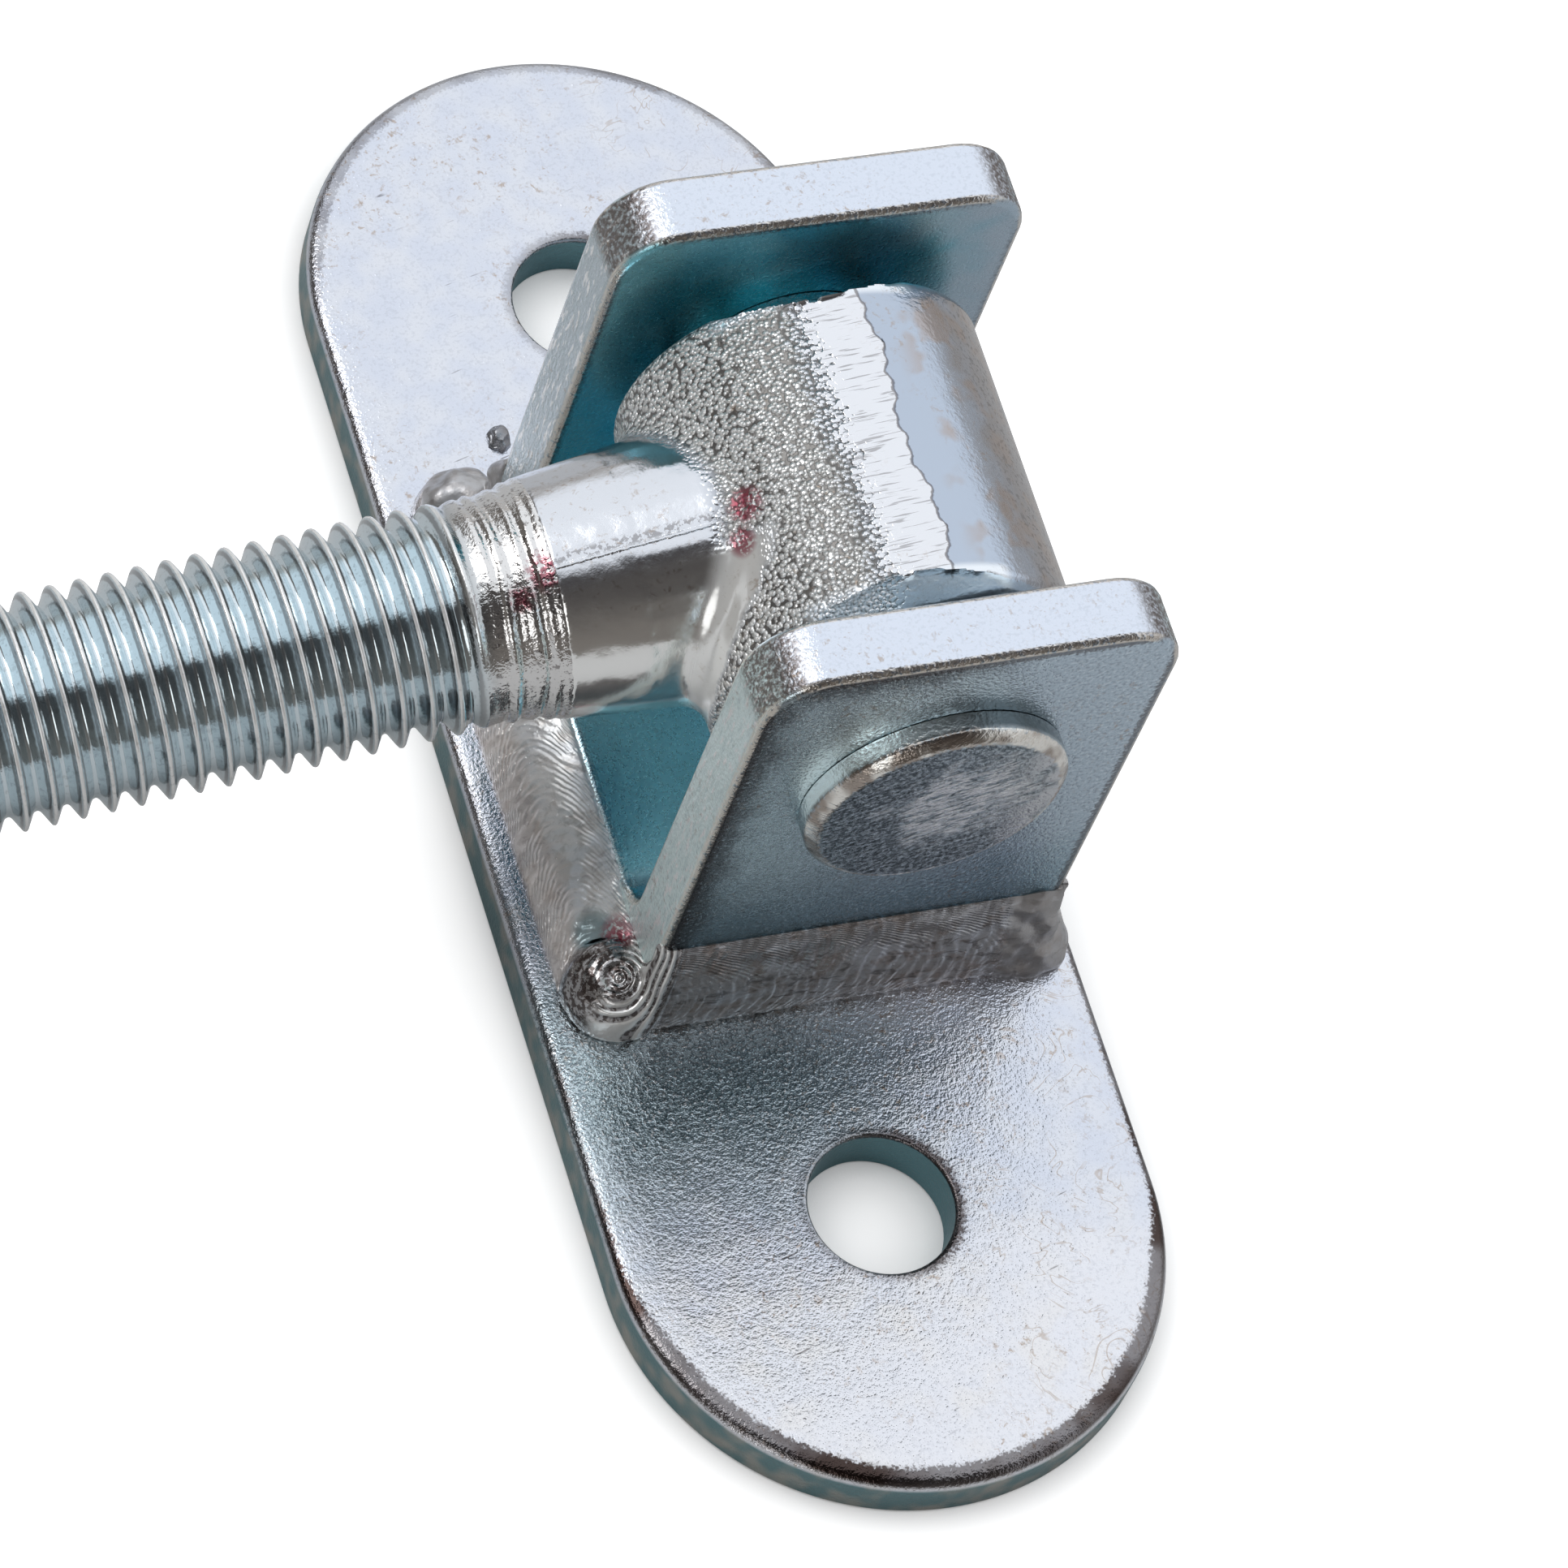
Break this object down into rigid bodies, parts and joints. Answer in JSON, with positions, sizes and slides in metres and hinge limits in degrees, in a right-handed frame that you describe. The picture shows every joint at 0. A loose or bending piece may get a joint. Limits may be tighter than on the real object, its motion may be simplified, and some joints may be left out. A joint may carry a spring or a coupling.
{
  "type": "adjustable gate hinge",
  "caption": "Zinc-plated gate hinge: U bracket welded on an oblong screw plate, holding a forged eye bolt with a threaded rod that swings on a riveted pin.",
  "frame": {"origin": "centre of the base plate's underside, midway between its two screw holes", "axes": "+Z out of the plate towards the pin, Y along the plate and the pin, rod towards -X"},
  "size_m": [0.1772, 0.118, 0.0476],
  "materials": {
    "plate_zinc": "bright blue-white zinc plate over rolled bar, brown-speckled, worn at the edges",
    "bracket_zinc": "bright blue-white zinc plate over folded strip, dark teal inside the U",
    "pin_zinc": "zinc plate over a scuffed rivet head",
    "forging_zinc": "zinc plate over a rough forged eye and a rolled thread",
    "weld_zinc": "zinc plate over rippled weld beads"
  },
  "bodies": {
    "bracket": {"base_plate": "plate_zinc", "u_bracket": "bracket_zinc", "hinge_pin": "pin_zinc", "weld_front": "weld_zinc", "weld_rear": "weld_zinc", "weld_left": "weld_zinc", "weld_right": "weld_zinc"},
    "eye_bolt": {"eye_bolt": "forging_zinc"}
  },
  "joints": [
    {"name": "eye_swing", "type": "hinge", "parent": "bracket", "child": "eye_bolt", "pos_m": [0.002, 0, 0.0316], "axis": [0, 1, 0], "range_deg": [-29, 226]}
  ]
}
